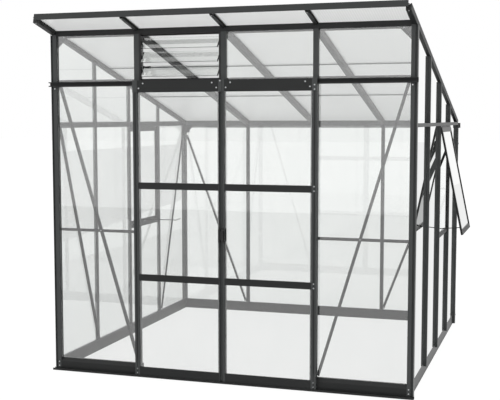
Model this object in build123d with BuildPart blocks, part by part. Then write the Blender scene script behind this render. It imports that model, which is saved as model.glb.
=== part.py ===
"""Free-standing pent-roof glasshouse with double sliding doors.

Powder-coated aluminium frame of four bays by four, toughened glass walls, a fluted polycarbonate
roof that overhangs the tall front, one top-hung window in each side wall and a louvre over the doors.
X runs to the right, Y runs from the door front to the low back, Z is up, all in millimetres.
Pieces are drawn about the middle of the plan. When saved they are moved so that the origin is on the
ground under the middle of the front base rail.
"""
import os
from math import atan, atan2, cos, degrees, hypot, radians, sin

from build123d import *

os.makedirs("parts", exist_ok=True)

# Plan and heights
bay = 620.0
wall_reach = 25.0
base_height = 84.0
threshold_height = 48.0
eave_bottom = 1716.0
rail_height = 31.0
side_rail_height = 24.0
light_height = 314.0
transom_height = 34.0
plate_height = 36.0
front_top = 2376.0

# Corner posts and base rails
post_size = 42.0
post_channel = 14.0
post_channel_depth = 12.0
post_lip = 3.0
post_wall = 2.5
base_depth = 22.0
base_wall = 2.5
nose_height = 24.0

# Glazing bars: an outer head, a web beside the panes and an inner flange that the panes lie on
head_depth = 18.0
head_width = 20.0
front_head_width = 36.0
rear_head_width = 30.0
web_width = 8.0
slot_depth = 6.0
flange_depth = 3.0
flange_width = 28.0
flange_lap = 14.0
rail_lap = 8.0
foot_height = 26.0
profile_wall = 2.0
pane_thickness = 4.0
pane_play = 1.0
pane_bedding = 0.8

# Roof
sheet_thickness = 6.0
sheet_play = 0.4
front_overhang = 273.0
rear_overhang = 26.0
rib_width = 20.0
rib_depth = 12.0
shelf_width = 34.0
shelf_depth = 3.0
rafter_depth = 42.0
cap_depth = 3.0
verge_inset = 7.0
verge_width = 34.0
verge_drop = 26.0
verge_wall = 8.0
verge_rise = 15.0
fascia_thickness = 4.0
fascia_drop = 15.0
fascia_rise = 26.0
fascia_lap = 25.0
first_joiner = 901.0
second_joiner = 1740.0
joiner_width = 14.0
joiner_web = 2.0
joiner_skin = 1.2

# Gutter along the back
gutter_depth = 58.0
gutter_height = 42.0
gutter_wall = 2.5
gutter_overrun = 5.0
gutter_drop = 15.0
end_cap_thickness = 4.0
outlet_radius = 18.0
outlet_length = 45.0

# Door tracks
track_depth = 25.0
track_height = 32.0
track_wall = 2.5
track_lip = 4.5
track_overrun = 7.0
sill_track_depth = 32.0
sill_track_height = 14.0
sill_track_wall = 3.0

# Sliding doors
door_lap = 18.0
meeting_gap = 1.5
stile_width = 34.0
stile_depth = 20.0
stile_groove = 6.0
stile_groove_depth = 4.0
left_meeting_stile = 24.0
right_meeting_stile = 12.0
seal_channel = 18.0
seal_channel_depth = 14.0
stile_clear = 9.0
door_clear = 16.0
door_top_clear = 2.0
top_rail_height = 80.0
top_rail_thickness = 5.0
top_rail_rise = 3.0
head_rail_height = 30.0
mid_rail_height = 45.0
upper_rail_height = 1320.0
lower_rail_height = 693.0
bottom_rail_height = 56.0
door_rail_depth = 12.0
door_flange = 10.0
wheel_radius = 11.7
wheel_width = 8.0
wheel_clear = 0.3
axle_radius = 3.0
running_clear = 0.05
roller_inset = 44.0
rail_bolt_inset = 13.0
head_bolt_drop = 9.0
shoe_length = 40.0
shoe_depth = 16.0
handle_height = 95.0
handle_grip = 10.0
handle_level = 955.0
handle_reach = 26.0

# Side windows, hung from a rod under the side rail
sill_level = 872.0
sill_height = 33.0
sill_depth = 13.0
window_play = 2.0
leaf_depth = 14.0
leaf_lap = 13.0
leaf_stile = 22.0
leaf_rail = 36.0
leaf_gap = 1.0
rod_radius = 3.0
knuckle_radius = 5.0
knuckle_clear = 1.0
knuckle_end = 30.0
hinge_inset = 3.0
open_angle = 11.7
stay_share = 0.42
stay_length = 290.0
stay_width = 8.0
stay_height = 6.0
stay_pin_radius = 3.0
stay_rise = 18.0
ear_thickness = 3.0
ear_gap = 0.5
peg_clear = 1.4
peg_radius = 4.0

# Louvre over the left door
louvre_edge = 5.0
louvre_side = 14.0
blade_clear = 1.5
blade_overlap = 4.0
blade_tilt = 42.0
clip_thickness = 4.0
clip_depth = 10.0
pivot_radius = 2.5
link_arm = 25.0
link_width = 8.0
link_thickness = 3.0
link_play = 0.5

# Braces, brackets and fasteners
brace_width = 20.0
brace_flange = 15.0
brace_thickness = 2.5
brace_top_inset = 12.0
brace_foot_offset = 19.0
mid_strip_height = 20.0
mid_strip_level = 999.0
gusset_leg = 85.0
gusset_thickness = 3.0
gusset_bolt_inset = 50.0
bolt_radius = 4.5
bolt_height = 3.5

# Lines that several pieces share
half = 2 * bay + wall_reach
inner = half - post_size
head_back = half - head_depth
pane_inner = head_back - slot_depth
flange_inner = pane_inner - flange_depth
front_middle = (half + head_back - base_depth) / 2
eave_top = eave_bottom + rail_height
side_rail_top = eave_bottom + side_rail_height
plate_bottom = front_top - plate_height
transom_top = plate_bottom - light_height
transom_bottom = transom_top - transom_height
slope = (front_top - eave_top) / (2 * half)
pitch = atan(slope)
bar_lines = (-bay, 0.0, bay)
none = (Align.NONE, Align.NONE)

roof_plane = Plane(origin=(0, -half, front_top), x_dir=(1, 0, 0), z_dir=(0, sin(pitch), cos(pitch)))
run_start = -front_overhang
run_end = 2 * half / cos(pitch) + rear_overhang


def roof_line(y, drop=0.0):
    """Height of the roof plane over a place Y, measured a drop below the sheets."""
    return front_top - slope * (y + half) - drop / cos(pitch)


def across_slope(run):
    """Plane across the slope at a run down the roof; its second axis points down into the house."""
    origin = (0, -half + run * cos(pitch), front_top - run * sin(pitch))
    return Plane(origin=origin, x_dir=(1, 0, 0), z_dir=(0, cos(pitch), -sin(pitch)))


def trim_to_roof(drop):
    """Cut the piece being built off along the roof slope."""
    far = 2 * half
    with BuildSketch(Plane.YZ) as above:
        Polygon((-far, roof_line(-far, drop)), (far, roof_line(far, drop)), (far, 2 * front_top),
                (-far, 2 * front_top), align=none)
    extrude(above.sketch, amount=far, both=True, mode=Mode.SUBTRACT)


def save(builder, name):
    """Move a finished piece to the origin under the front base rail, name it and write its file."""
    with BuildPart() as placed:
        with Locations((0, front_middle, 0)):
            add(builder.part)
    placed.part.label = name
    export_step(placed.part, f"parts/{name}.step")


# Corner posts: hollow, with an open channel down the outer half of the front or back face
channel_side = half - post_lip - post_channel
with BuildPart() as corner_posts:
    with BuildSketch():
        for end in (-1, 1):
            with Locations(*[(side * (inner + half) / 2, end * (inner + half) / 2) for side in (-1, 1)]):
                Rectangle(post_size, post_size)
            with Locations(*[(side * (inner + channel_side) / 2, end * (inner + half) / 2) for side in (-1, 1)]):
                Rectangle(channel_side - inner - 2 * post_wall, post_size - 2 * post_wall, mode=Mode.SUBTRACT)
            with Locations(*[(side * (half - post_lip - post_channel / 2), end * (half - post_channel_depth / 2))
                             for side in (-1, 1)]):
                Rectangle(post_channel, post_channel_depth, mode=Mode.SUBTRACT)
    extrude(amount=front_top)
    trim_to_roof(verge_drop)
save(corner_posts, "corner_posts")

# Base rails between the posts; the front one has a sloped nose and is cut down to a threshold in the doorway
with BuildPart() as base_rails:
    base_middle = head_back - base_depth / 2
    with BuildSketch(Plane.XZ):
        with Locations((base_middle, base_height / 2), (-base_middle, base_height / 2)):
            Rectangle(base_depth, base_height)
            Rectangle(base_depth - 2 * base_wall, base_height - 2 * base_wall, mode=Mode.SUBTRACT)
    extrude(amount=inner, both=True)
    with BuildSketch(Plane.YZ):
        with Locations((base_middle, base_height / 2)):
            Rectangle(base_depth, base_height)
            Rectangle(base_depth - 2 * base_wall, base_height - 2 * base_wall, mode=Mode.SUBTRACT)
    extrude(amount=inner, both=True)
    with BuildSketch(Plane.YZ):
        Polygon((-half, 0), (-head_back + base_depth, 0), (-head_back + base_depth, base_height),
                (-head_back, base_height), (-half, base_height - nose_height), align=none)
        with Locations((-base_middle, threshold_height / 2)):
            Rectangle(base_depth - 2 * base_wall, threshold_height - 2 * base_wall, mode=Mode.SUBTRACT)
    extrude(amount=inner, both=True)
    with BuildSketch(Plane.XZ.offset(head_back - base_depth)) as doorway:
        with Locations((0, (threshold_height + base_height) / 2)):
            Rectangle(2 * bay - front_head_width, base_height - threshold_height)
    extrude(doorway.sketch, amount=half - head_back + base_depth, mode=Mode.SUBTRACT)
save(base_rails, "base_rails")

# Front head rail over the doors, with a flange behind the panes above it
with BuildPart() as transom:
    with BuildSketch(Plane.YZ):
        Polygon((-half, transom_bottom), (-flange_inner, transom_bottom), (-flange_inner, transom_top + flange_lap),
                (-pane_inner, transom_top + flange_lap), (-pane_inner, transom_top), (-half, transom_top),
                align=none)
        with Locations(((-half - pane_inner) / 2, (transom_bottom + transom_top) / 2)):
            Rectangle(half - pane_inner - 2 * profile_wall, transom_height - 2 * profile_wall, mode=Mode.SUBTRACT)
    extrude(amount=inner, both=True)
save(transom, "transom")

# Front top plate, cut to the roof slope so the sheets lie on it; the gussets are bolted to its flange
gusset_bolts = [(side * (inner - gusset_bolt_inset), plate_bottom - flange_lap / 2) for side in (-1, 1)]
with BuildPart() as front_top_plate:
    with BuildSketch(Plane.YZ):
        Polygon((-half, plate_bottom), (-pane_inner, plate_bottom), (-pane_inner, plate_bottom - flange_lap),
                (-flange_inner, plate_bottom - flange_lap), (-flange_inner, roof_line(-flange_inner)),
                (-half, front_top), align=none)
    extrude(amount=inner, both=True)
    with BuildSketch(Plane.XZ.offset(flange_inner)) as bolt_holes:
        with Locations(*gusset_bolts):
            Circle(bolt_radius)
    extrude(bolt_holes.sketch, amount=flange_depth, mode=Mode.SUBTRACT)
save(front_top_plate, "front_top_plate")

# Rear eave rail, cut to the same slope
with BuildPart() as eave_rail:
    with BuildSketch(Plane.YZ):
        Polygon((half, eave_bottom), (half, eave_top), (flange_inner, roof_line(flange_inner)),
                (flange_inner, eave_bottom - rail_lap), (pane_inner, eave_bottom - rail_lap),
                (pane_inner, eave_bottom), align=none)
    extrude(amount=inner, both=True)
save(eave_rail, "eave_rail")

# Side rails at eave height
with BuildPart() as side_rails:
    for side in (-1, 1):
        with BuildSketch(Plane.XZ):
            Polygon((side * half, eave_bottom), (side * half, side_rail_top), (side * pane_inner, side_rail_top),
                    (side * pane_inner, side_rail_top + rail_lap), (side * flange_inner, side_rail_top + rail_lap),
                    (side * flange_inner, eave_bottom - rail_lap), (side * pane_inner, eave_bottom - rail_lap),
                    (side * pane_inner, eave_bottom), align=none)
            with Locations((side * (half + pane_inner) / 2, (eave_bottom + side_rail_top) / 2)):
                Rectangle(half - pane_inner - 2 * profile_wall, side_rail_height - 2 * profile_wall,
                          mode=Mode.SUBTRACT)
        extrude(amount=inner, both=True)
    trim_to_roof(verge_drop)
save(side_rails, "side_rails")

# Side wall glazing bars, below and above the side rails
with BuildPart() as side_bars:
    head_middle = half - head_depth / 2
    web_middle = head_back - slot_depth / 2
    flange_middle = pane_inner - flange_depth / 2
    heads = [(side * head_middle, line) for side in (-1, 1) for line in bar_lines]
    webs = [(side * web_middle, line) for side in (-1, 1) for line in bar_lines]
    flanges = [(side * flange_middle, line) for side in (-1, 1) for line in bar_lines]
    with BuildSketch(Plane.XY.offset(base_height - foot_height)):
        with Locations(*heads):
            Rectangle(head_depth, head_width)
    extrude(amount=eave_bottom - base_height + foot_height)
    with BuildSketch(Plane.XY.offset(base_height)):
        with Locations(*webs):
            Rectangle(slot_depth, web_width)
    extrude(amount=eave_bottom - base_height)
    with BuildSketch(Plane.XY.offset(base_height)):
        with Locations(*flanges):
            Rectangle(flange_depth, flange_width)
    extrude(amount=eave_bottom - rail_lap - base_height)
    with BuildSketch(Plane.XY.offset(side_rail_top)):
        with Locations(*heads):
            Rectangle(head_depth, head_width)
        with Locations(*webs):
            Rectangle(slot_depth, web_width)
    extrude(amount=front_top - side_rail_top)
    with BuildSketch(Plane.XY.offset(side_rail_top + rail_lap)):
        with Locations(*flanges):
            Rectangle(flange_depth, flange_width)
    extrude(amount=front_top - side_rail_top - rail_lap)
    trim_to_roof(verge_drop)
save(side_bars, "side_bars")

# Rear wall glazing bars
with BuildPart() as rear_bars:
    with BuildSketch(Plane.XY.offset(base_height - foot_height)):
        with Locations(*[(line, head_middle) for line in bar_lines]):
            Rectangle(rear_head_width, head_depth)
    extrude(amount=eave_bottom - base_height + foot_height)
    with BuildSketch(Plane.XY.offset(base_height)):
        with Locations(*[(line, web_middle) for line in bar_lines]):
            Rectangle(web_width, slot_depth)
    extrude(amount=eave_bottom - base_height)
    with BuildSketch(Plane.XY.offset(base_height)):
        with Locations(*[(line, flange_middle) for line in bar_lines]):
            Rectangle(flange_width, flange_depth)
    extrude(amount=eave_bottom - rail_lap - base_height)
save(rear_bars, "rear_bars")

# Door jambs from the sill to the head rail
with BuildPart() as door_jambs:
    with BuildSketch(Plane.XY.offset(base_height)):
        with Locations((-bay, -head_middle), (bay, -head_middle)):
            Rectangle(front_head_width, head_depth)
        with Locations((-bay, -web_middle), (bay, -web_middle)):
            Rectangle(web_width, slot_depth)
        with Locations((-bay, -flange_middle), (bay, -flange_middle)):
            Rectangle(flange_width, flange_depth)
    extrude(amount=transom_bottom - base_height)
save(door_jambs, "door_jambs")

# Short mullions between the head rail and the top plate
with BuildPart() as front_mullions:
    with BuildSketch(Plane.XY.offset(transom_top)):
        with Locations(*[(line, -head_middle) for line in bar_lines]):
            Rectangle(front_head_width, head_depth)
        with Locations(*[(line, -web_middle) for line in bar_lines]):
            Rectangle(web_width, slot_depth)
    extrude(amount=plate_bottom - transom_top)
    with BuildSketch(Plane.XY.offset(transom_top + flange_lap)):
        with Locations(*[(line, -flange_middle) for line in bar_lines]):
            Rectangle(flange_width, flange_depth)
    extrude(amount=plate_bottom - transom_top - 2 * flange_lap)
save(front_mullions, "front_mullions")

# Panes of the front: two tall ones beside the doors and three over the head rail
web_side = web_width / 2 + pane_play
pane_middle = pane_inner + pane_bedding + pane_thickness / 2
end_bay_middle = (inner - pane_play + bay + web_side) / 2
end_bay_pane = inner - pane_play - bay - web_side
inner_bay_pane = bay - 2 * web_side
with BuildPart() as front_glass:
    with BuildSketch(Plane.XY.offset(base_height)):
        with Locations((-end_bay_middle, -pane_middle), (end_bay_middle, -pane_middle)):
            Rectangle(end_bay_pane, pane_thickness)
    extrude(amount=transom_bottom - pane_play - base_height)
    with BuildSketch(Plane.XY.offset(transom_top)):
        with Locations((-end_bay_middle, -pane_middle), (end_bay_middle, -pane_middle)):
            Rectangle(end_bay_pane, pane_thickness)
        with Locations((bay / 2, -pane_middle)):
            Rectangle(inner_bay_pane, pane_thickness)
    extrude(amount=plate_bottom - pane_play - transom_top)
save(front_glass, "front_glass")

# Panes of the side walls; the third bay has a short pane under its window
bay_middles = ((-end_bay_middle, end_bay_pane), (-bay / 2, inner_bay_pane), (bay / 2, inner_bay_pane),
               (end_bay_middle, end_bay_pane))
with BuildPart() as side_glass:
    for side in (-1, 1):
        for index, (middle, length) in enumerate(bay_middles):
            top = sill_level if index == 2 else eave_bottom - pane_play
            with BuildSketch(Plane.XY.offset(base_height)):
                with Locations((side * pane_middle, middle)):
                    Rectangle(pane_thickness, length)
            extrude(amount=top - base_height)
            with BuildSketch(Plane.XY.offset(side_rail_top)):
                with Locations((side * pane_middle, middle)):
                    Rectangle(pane_thickness, length)
            extrude(amount=front_top - side_rail_top)
    trim_to_roof(verge_drop)
save(side_glass, "side_glass")

# Panes of the back wall
with BuildPart() as rear_glass:
    with BuildSketch(Plane.XY.offset(base_height)):
        for middle, length in bay_middles:
            with Locations((middle, pane_middle)):
                Rectangle(length, pane_thickness)
    extrude(amount=eave_bottom - pane_play - base_height)
save(rear_glass, "rear_glass")

# Verge bars that close the roof along both sides
cap_level = sheet_thickness + sheet_play
verge_start = run_start + fascia_lap
verge_outer = half - verge_inset
verge_back = verge_outer - verge_width
verge_middle = (verge_outer + verge_back) / 2
verge_slot = verge_outer - verge_wall
with BuildPart() as verge_bars:
    for side in (-1, 1):
        outline = [(verge_back, -verge_drop), (verge_outer, -verge_drop), (verge_outer, verge_rise),
                   (verge_slot, verge_rise), (verge_slot, cap_level + cap_depth), (verge_back, cap_level + cap_depth),
                   (verge_back, cap_level), (verge_slot, cap_level), (verge_slot, 0), (verge_back, 0)]
        with BuildSketch(across_slope(verge_start)):
            Polygon(*[(side * x, -n) for x, n in outline], align=none)
            with Locations((side * verge_middle, verge_drop / 2)):
                Rectangle(verge_width - 2 * post_wall, verge_drop - 2 * post_wall, mode=Mode.SUBTRACT)
        extrude(amount=run_end - verge_start)
    # Behind the back wall only the shelf goes on, over the gutter
    with BuildSketch(Plane.YZ) as behind:
        Polygon((half, eave_bottom - verge_drop), (half, roof_line(half, shelf_depth)),
                (2 * half, roof_line(2 * half, shelf_depth)), (2 * half, eave_bottom - verge_drop - half), align=none)
    extrude(behind.sketch, amount=2 * half, both=True, mode=Mode.SUBTRACT)
save(verge_bars, "verge_bars")

# Roof bars, notched over the front plate and the eave rail
with BuildPart() as roof_bars:
    outline = [(rib_width / 2, -shelf_depth - rib_depth), (rib_width / 2, -shelf_depth),
               (shelf_width / 2, -shelf_depth), (shelf_width / 2, 0), (web_width / 2, 0), (web_width / 2, cap_level),
               (shelf_width / 2, cap_level), (shelf_width / 2, cap_level + cap_depth)]
    outline = outline + [(-x, n) for x, n in reversed(outline)]
    with BuildSketch(across_slope(verge_start)):
        with Locations(*[(line, 0) for line in bar_lines]):
            Polygon(*[(x, -n) for x, n in outline], align=none)
    extrude(amount=run_end - verge_start)
    # Inside the house each bar is a deep box from the front plate to the eave rail
    with BuildSketch(*[Plane.YZ.offset(line) for line in bar_lines]):
        Polygon((-flange_inner, roof_line(-flange_inner)), (-flange_inner, roof_line(-flange_inner, rafter_depth)),
                (flange_inner, roof_line(flange_inner, rafter_depth)), (flange_inner, roof_line(flange_inner)),
                align=none)
    extrude(amount=shelf_width / 2, both=True)
    with BuildSketch(*[Plane.YZ.offset(line) for line in bar_lines]):
        low = rafter_depth - profile_wall
        Polygon((-flange_inner, roof_line(-flange_inner, shelf_depth)), (-flange_inner, roof_line(-flange_inner, low)),
                (flange_inner, roof_line(flange_inner, low)), (flange_inner, roof_line(flange_inner, shelf_depth)),
                align=none)
    extrude(amount=shelf_width / 2 - profile_wall, both=True, mode=Mode.SUBTRACT)
    with BuildSketch(Plane.YZ) as seats:
        Polygon((-half, plate_bottom), (-flange_inner, plate_bottom), (-flange_inner, roof_line(-flange_inner)),
                (-half, front_top), align=none)
        Polygon((flange_inner, eave_bottom - half), (flange_inner, roof_line(flange_inner)),
                (2 * half, roof_line(2 * half)), (2 * half, eave_bottom - half), align=none)
    extrude(seats.sketch, amount=half, both=True, mode=Mode.SUBTRACT)
save(roof_bars, "roof_bars")

# Fluted roof sheets, three down the slope in each bay
sheet_edges = (-verge_slot + 2 * pane_play, -bay - web_side, -bay + web_side, -web_side, web_side, bay - web_side,
               bay + web_side, verge_slot - 2 * pane_play)
sheet_runs = (run_start, first_joiner, second_joiner, run_end)
with BuildPart() as roof_sheets:
    with BuildSketch(roof_plane):
        for left, right in zip(sheet_edges[0::2], sheet_edges[1::2]):
            for index in range(3):
                top = sheet_runs[index] + (joiner_web / 2 if index > 0 else 0)
                low = sheet_runs[index + 1] - (joiner_web / 2 if index < 2 else 0)
                with Locations(((left + right) / 2, (top + low) / 2)):
                    Rectangle(right - left, low - top)
    extrude(amount=sheet_thickness)
save(roof_sheets, "roof_sheets")

# Joiner strips between the sheets
with BuildPart() as sheet_joiners:
    spans = []
    for edge in (-2 * bay, -bay, 0.0, bay):
        start = edge + shelf_width / 2 + pane_play if edge > -2 * bay else -verge_back + pane_play
        end = edge + bay - shelf_width / 2 - pane_play if edge < bay else verge_back - pane_play
        spans.append((start, end))
    places = [((start + end) / 2, run, end - start) for start, end in spans for run in (first_joiner, second_joiner)]
    for x, run, length in places:
        with BuildSketch(roof_plane):
            with Locations((x, run)):
                Rectangle(length, joiner_web)
        extrude(amount=sheet_thickness)
        with BuildSketch(roof_plane.offset(-joiner_skin), roof_plane.offset(sheet_thickness)):
            with Locations((x, run)):
                Rectangle(length, joiner_width)
        extrude(amount=joiner_skin)
save(sheet_joiners, "sheet_joiners")

# Fascia along the front edge of the roof
with BuildPart() as roof_fascia:
    with BuildSketch(roof_plane.offset(-fascia_drop)):
        with Locations((0, run_start - fascia_thickness / 2)):
            Rectangle(2 * (verge_slot - verge_wall), fascia_thickness)
    extrude(amount=fascia_drop + fascia_rise)
    flap = 2 * (verge_back - pane_play)
    with BuildSketch(roof_plane.offset(-shelf_depth), roof_plane.offset(cap_level)):
        with Locations((0, run_start + fascia_lap / 2)):
            Rectangle(flap, fascia_lap)
    extrude(amount=shelf_depth)
save(roof_fascia, "roof_fascia")

# Gutter on the back wall
gutter_top = eave_top - gutter_drop
gutter_low = gutter_top - gutter_height
gutter_half = half + gutter_overrun
with BuildPart() as gutter:
    with BuildSketch(Plane.YZ):
        with Locations((half + gutter_depth / 2, (gutter_top + gutter_low) / 2)):
            Rectangle(gutter_depth, gutter_height)
        with Locations((half + gutter_depth / 2, (gutter_top + gutter_low) / 2 + gutter_wall)):
            Rectangle(gutter_depth - 2 * gutter_wall, gutter_height, mode=Mode.SUBTRACT)
    extrude(amount=gutter_half, both=True)
    with BuildSketch(Plane.XY.offset(gutter_low)):
        with Locations((-inner, half + gutter_depth / 2), (inner, half + gutter_depth / 2)):
            Circle(outlet_radius - gutter_wall)
    extrude(amount=gutter_wall, mode=Mode.SUBTRACT)
save(gutter, "gutter")

# Plastic caps on the verge and gutter ends, and the two gutter outlets
with BuildPart() as end_caps:
    with BuildSketch(roof_plane.offset(-verge_drop)):
        cap_run = verge_start - end_cap_thickness / 2
        with Locations((-verge_middle, cap_run), (verge_middle, cap_run)):
            Rectangle(verge_width, end_cap_thickness)
    extrude(amount=verge_drop)
    with BuildSketch(Plane.YZ.offset(gutter_half), Plane.YZ.offset(-gutter_half - end_cap_thickness)):
        with Locations((half + gutter_depth / 2, (gutter_top + gutter_low) / 2)):
            Rectangle(gutter_depth, gutter_height)
    extrude(amount=end_cap_thickness)
    with BuildSketch(Plane.XY.offset(gutter_low)):
        with Locations((-inner, half + gutter_depth / 2), (inner, half + gutter_depth / 2)):
            Circle(outlet_radius)
            Circle(outlet_radius - gutter_wall, mode=Mode.SUBTRACT)
    extrude(amount=-outlet_length)
save(end_caps, "end_caps")

# Top track, an open channel that the door wheels run in
track_bottom = transom_bottom + (transom_height - track_height) / 2
track_top = track_bottom + track_height
track_front = half + track_depth
with BuildPart() as door_track:
    with BuildSketch(Plane.YZ):
        with Locations((-half - track_depth / 2, (track_bottom + track_top) / 2)):
            Rectangle(track_depth, track_height)
        with Locations((-half - track_depth / 2, (track_bottom + track_top) / 2)):
            Rectangle(track_depth - 2 * track_wall, track_height - 2 * track_wall, mode=Mode.SUBTRACT)
        with Locations((-track_front + track_wall / 2, (track_bottom + track_top) / 2)):
            Rectangle(track_wall, track_height - 2 * track_wall - 2 * track_lip, mode=Mode.SUBTRACT)
    extrude(amount=half + track_overrun, both=True)
save(door_track, "door_track")

# Bottom track, a shallow channel on the ground in front of the sill
with BuildPart() as sill_track:
    with BuildSketch(Plane.YZ):
        with Locations((-half - sill_track_depth / 2, sill_track_height / 2)):
            Rectangle(sill_track_depth, sill_track_height)
        with Locations((-half - sill_track_depth / 2, sill_track_height / 2 + sill_track_wall)):
            Rectangle(sill_track_depth - 2 * sill_track_wall, sill_track_height, mode=Mode.SUBTRACT)
    extrude(amount=half + track_overrun, both=True)
save(sill_track, "sill_track")

# Strips across the tall front panes, on the inside
strip_middle = (inner + bay + flange_width / 2) / 2
strip_length = inner - bay - flange_width / 2
brace_top = (inner - brace_top_inset, transom_bottom + brace_width / 2)
brace_foot = (bay + brace_foot_offset, base_height + brace_width / 2)
crossing_share = (brace_top[1] - mid_strip_level) / (brace_top[1] - brace_foot[1])
crossing = brace_top[0] + (brace_foot[0] - brace_top[0]) * crossing_share
with BuildPart() as front_strips:
    with BuildSketch(Plane.XZ.offset(flange_inner)):
        with Locations((-strip_middle, mid_strip_level), (strip_middle, mid_strip_level)):
            Rectangle(strip_length, mid_strip_height)
        with Locations((-crossing, mid_strip_level), (crossing, mid_strip_level)):
            Circle(bolt_radius, mode=Mode.SUBTRACT)
    extrude(amount=flange_depth)
save(front_strips, "front_strips")

# Diagonal braces of angle section in the end bays of every wall
rear_brace_top = eave_bottom - gusset_leg - flange_lap
with BuildPart() as wall_braces:
    front_inside = Plane(origin=(0, -flange_inner, 0), x_dir=(-1, 0, 0), z_dir=(0, 1, 0))
    rear_inside = Plane(origin=(0, flange_inner, 0), x_dir=(1, 0, 0), z_dir=(0, -1, 0))
    left_inside = Plane(origin=(-flange_inner, 0, 0), x_dir=(0, 1, 0), z_dir=(1, 0, 0))
    right_inside = Plane(origin=(flange_inner, 0, 0), x_dir=(0, -1, 0), z_dir=(-1, 0, 0))
    for face, level in ((front_inside, brace_top[1]), (rear_inside, rear_brace_top), (left_inside, eave_bottom),
                        (right_inside, eave_bottom)):
        for side in (-1, 1):
            top_end = (side * brace_top[0], level)
            foot_end = (side * brace_foot[0], brace_foot[1])
            length = hypot(top_end[0] - foot_end[0], top_end[1] - foot_end[1])
            turn = degrees(atan2(top_end[1] - foot_end[1], top_end[0] - foot_end[0]))
            middle = ((top_end[0] + foot_end[0]) / 2, (top_end[1] + foot_end[1]) / 2)
            with BuildSketch(face):
                with Locations(Location((middle[0], middle[1], 0), (0, 0, turn))):
                    Rectangle(length, brace_width)
            extrude(amount=brace_thickness)
            edge = side * (brace_width - brace_thickness) / 2
            with BuildSketch(face.offset(brace_thickness)):
                with Locations(Location((middle[0], middle[1], 0), (0, 0, turn))):
                    with Locations((0, edge)):
                        Rectangle(length, brace_thickness)
            extrude(amount=brace_flange - brace_thickness)
    with BuildSketch(front_inside) as rivets:
        with Locations((-crossing, mid_strip_level), (crossing, mid_strip_level)):
            Circle(bolt_radius)
    extrude(rivets.sketch, amount=brace_thickness, mode=Mode.SUBTRACT)
save(wall_braces, "wall_braces")

# Triangular gussets in the upper corners of the front and the back
with BuildPart() as corner_gussets:
    for side in (-1, 1):
        with BuildSketch(front_inside):
            Polygon((side * inner, plate_bottom), (side * (inner - gusset_leg), plate_bottom),
                    (side * inner, plate_bottom - gusset_leg), align=none)
            with Locations(*gusset_bolts):
                Circle(bolt_radius, mode=Mode.SUBTRACT)
        extrude(amount=gusset_thickness)
        with BuildSketch(rear_inside):
            Polygon((side * inner, eave_bottom), (side * (inner - gusset_leg), eave_bottom),
                    (side * inner, eave_bottom - gusset_leg), align=none)
        extrude(amount=gusset_thickness)
save(corner_gussets, "corner_gussets")

# Sill rails under the side windows, and the rods that the windows hang from
first_line, second_line = bar_lines[1], bar_lines[2]
window_middle = (first_line + second_line) / 2
window_span = second_line - first_line - head_width
sill_top = sill_level + sill_height
sill_middle = pane_inner + sill_depth / 2
hinge_x = half - hinge_inset
hinge_z = eave_bottom - knuckle_radius - knuckle_clear
with BuildPart() as window_sills:
    with BuildSketch(Plane.XY.offset(sill_level)):
        with Locations((-sill_middle, window_middle), (sill_middle, window_middle)):
            Rectangle(sill_depth, window_span)
    extrude(amount=sill_height)
save(window_sills, "window_sills")

with BuildPart() as window_rods:
    with BuildSketch(Plane.XZ.offset(-window_middle)):
        with Locations((-hinge_x, hinge_z), (hinge_x, hinge_z)):
            Circle(rod_radius)
    extrude(amount=window_span / 2, both=True)
save(window_rods, "window_rods")

# One window, drawn shut with its hinge line at the origin and its outside towards +X
leaf_inside = pane_inner + sill_depth + leaf_gap - hinge_x
leaf_outside = leaf_inside + leaf_depth
leaf_middle = (leaf_inside + leaf_outside) / 2
leaf_half = window_span / 2 - window_play
leaf_low = sill_top - leaf_lap - hinge_z
leaf_top = -knuckle_radius - knuckle_clear
leaf_pane_half = leaf_half - leaf_stile
stay_level = leaf_low + leaf_rail - stay_height
stay_pivot_x = leaf_inside - stay_height
with BuildPart() as window_frame:
    with BuildSketch(Plane.XY.offset(leaf_low)):
        with Locations((leaf_middle, leaf_half - leaf_stile / 2), (leaf_middle, -leaf_half + leaf_stile / 2)):
            Rectangle(leaf_depth, leaf_stile)
    extrude(amount=leaf_top - leaf_low)
    with BuildSketch(Plane.XY.offset(leaf_low), Plane.XY.offset(leaf_top - leaf_rail)):
        with Locations((leaf_middle, 0)):
            Rectangle(leaf_depth, 2 * leaf_pane_half)
    extrude(amount=leaf_rail)
    # Knuckle tube round the rod, joined to the top rail by a web
    with BuildSketch(Plane.XZ):
        Circle(knuckle_radius)
        with Locations((0, leaf_top / 2)):
            Rectangle(rod_radius, -leaf_top)
        Circle(rod_radius + running_clear, mode=Mode.SUBTRACT)
    extrude(amount=leaf_half - knuckle_end, both=True)
    # Ears and pin that carry the stay
    ear_place = stay_width / 2 + ear_gap + ear_thickness / 2
    with BuildSketch(Plane.XZ.offset(-ear_place), Plane.XZ.offset(ear_place)):
        with Locations(((leaf_inside + stay_pivot_x - stay_height) / 2, stay_level)):
            Rectangle(leaf_inside - stay_pivot_x + stay_height, 2 * stay_height)
    extrude(amount=ear_thickness / 2, both=True)
    with BuildSketch(Plane.XZ):
        with Locations((stay_pivot_x, stay_level)):
            Circle(stay_pin_radius)
    extrude(amount=ear_place, both=True)

with BuildPart() as window_pane:
    with BuildSketch(Plane.XY.offset(leaf_low + leaf_rail)):
        with Locations((leaf_middle, 0)):
            Rectangle(pane_thickness, 2 * leaf_pane_half)
    extrude(amount=leaf_top - leaf_low - 2 * leaf_rail)

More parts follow.
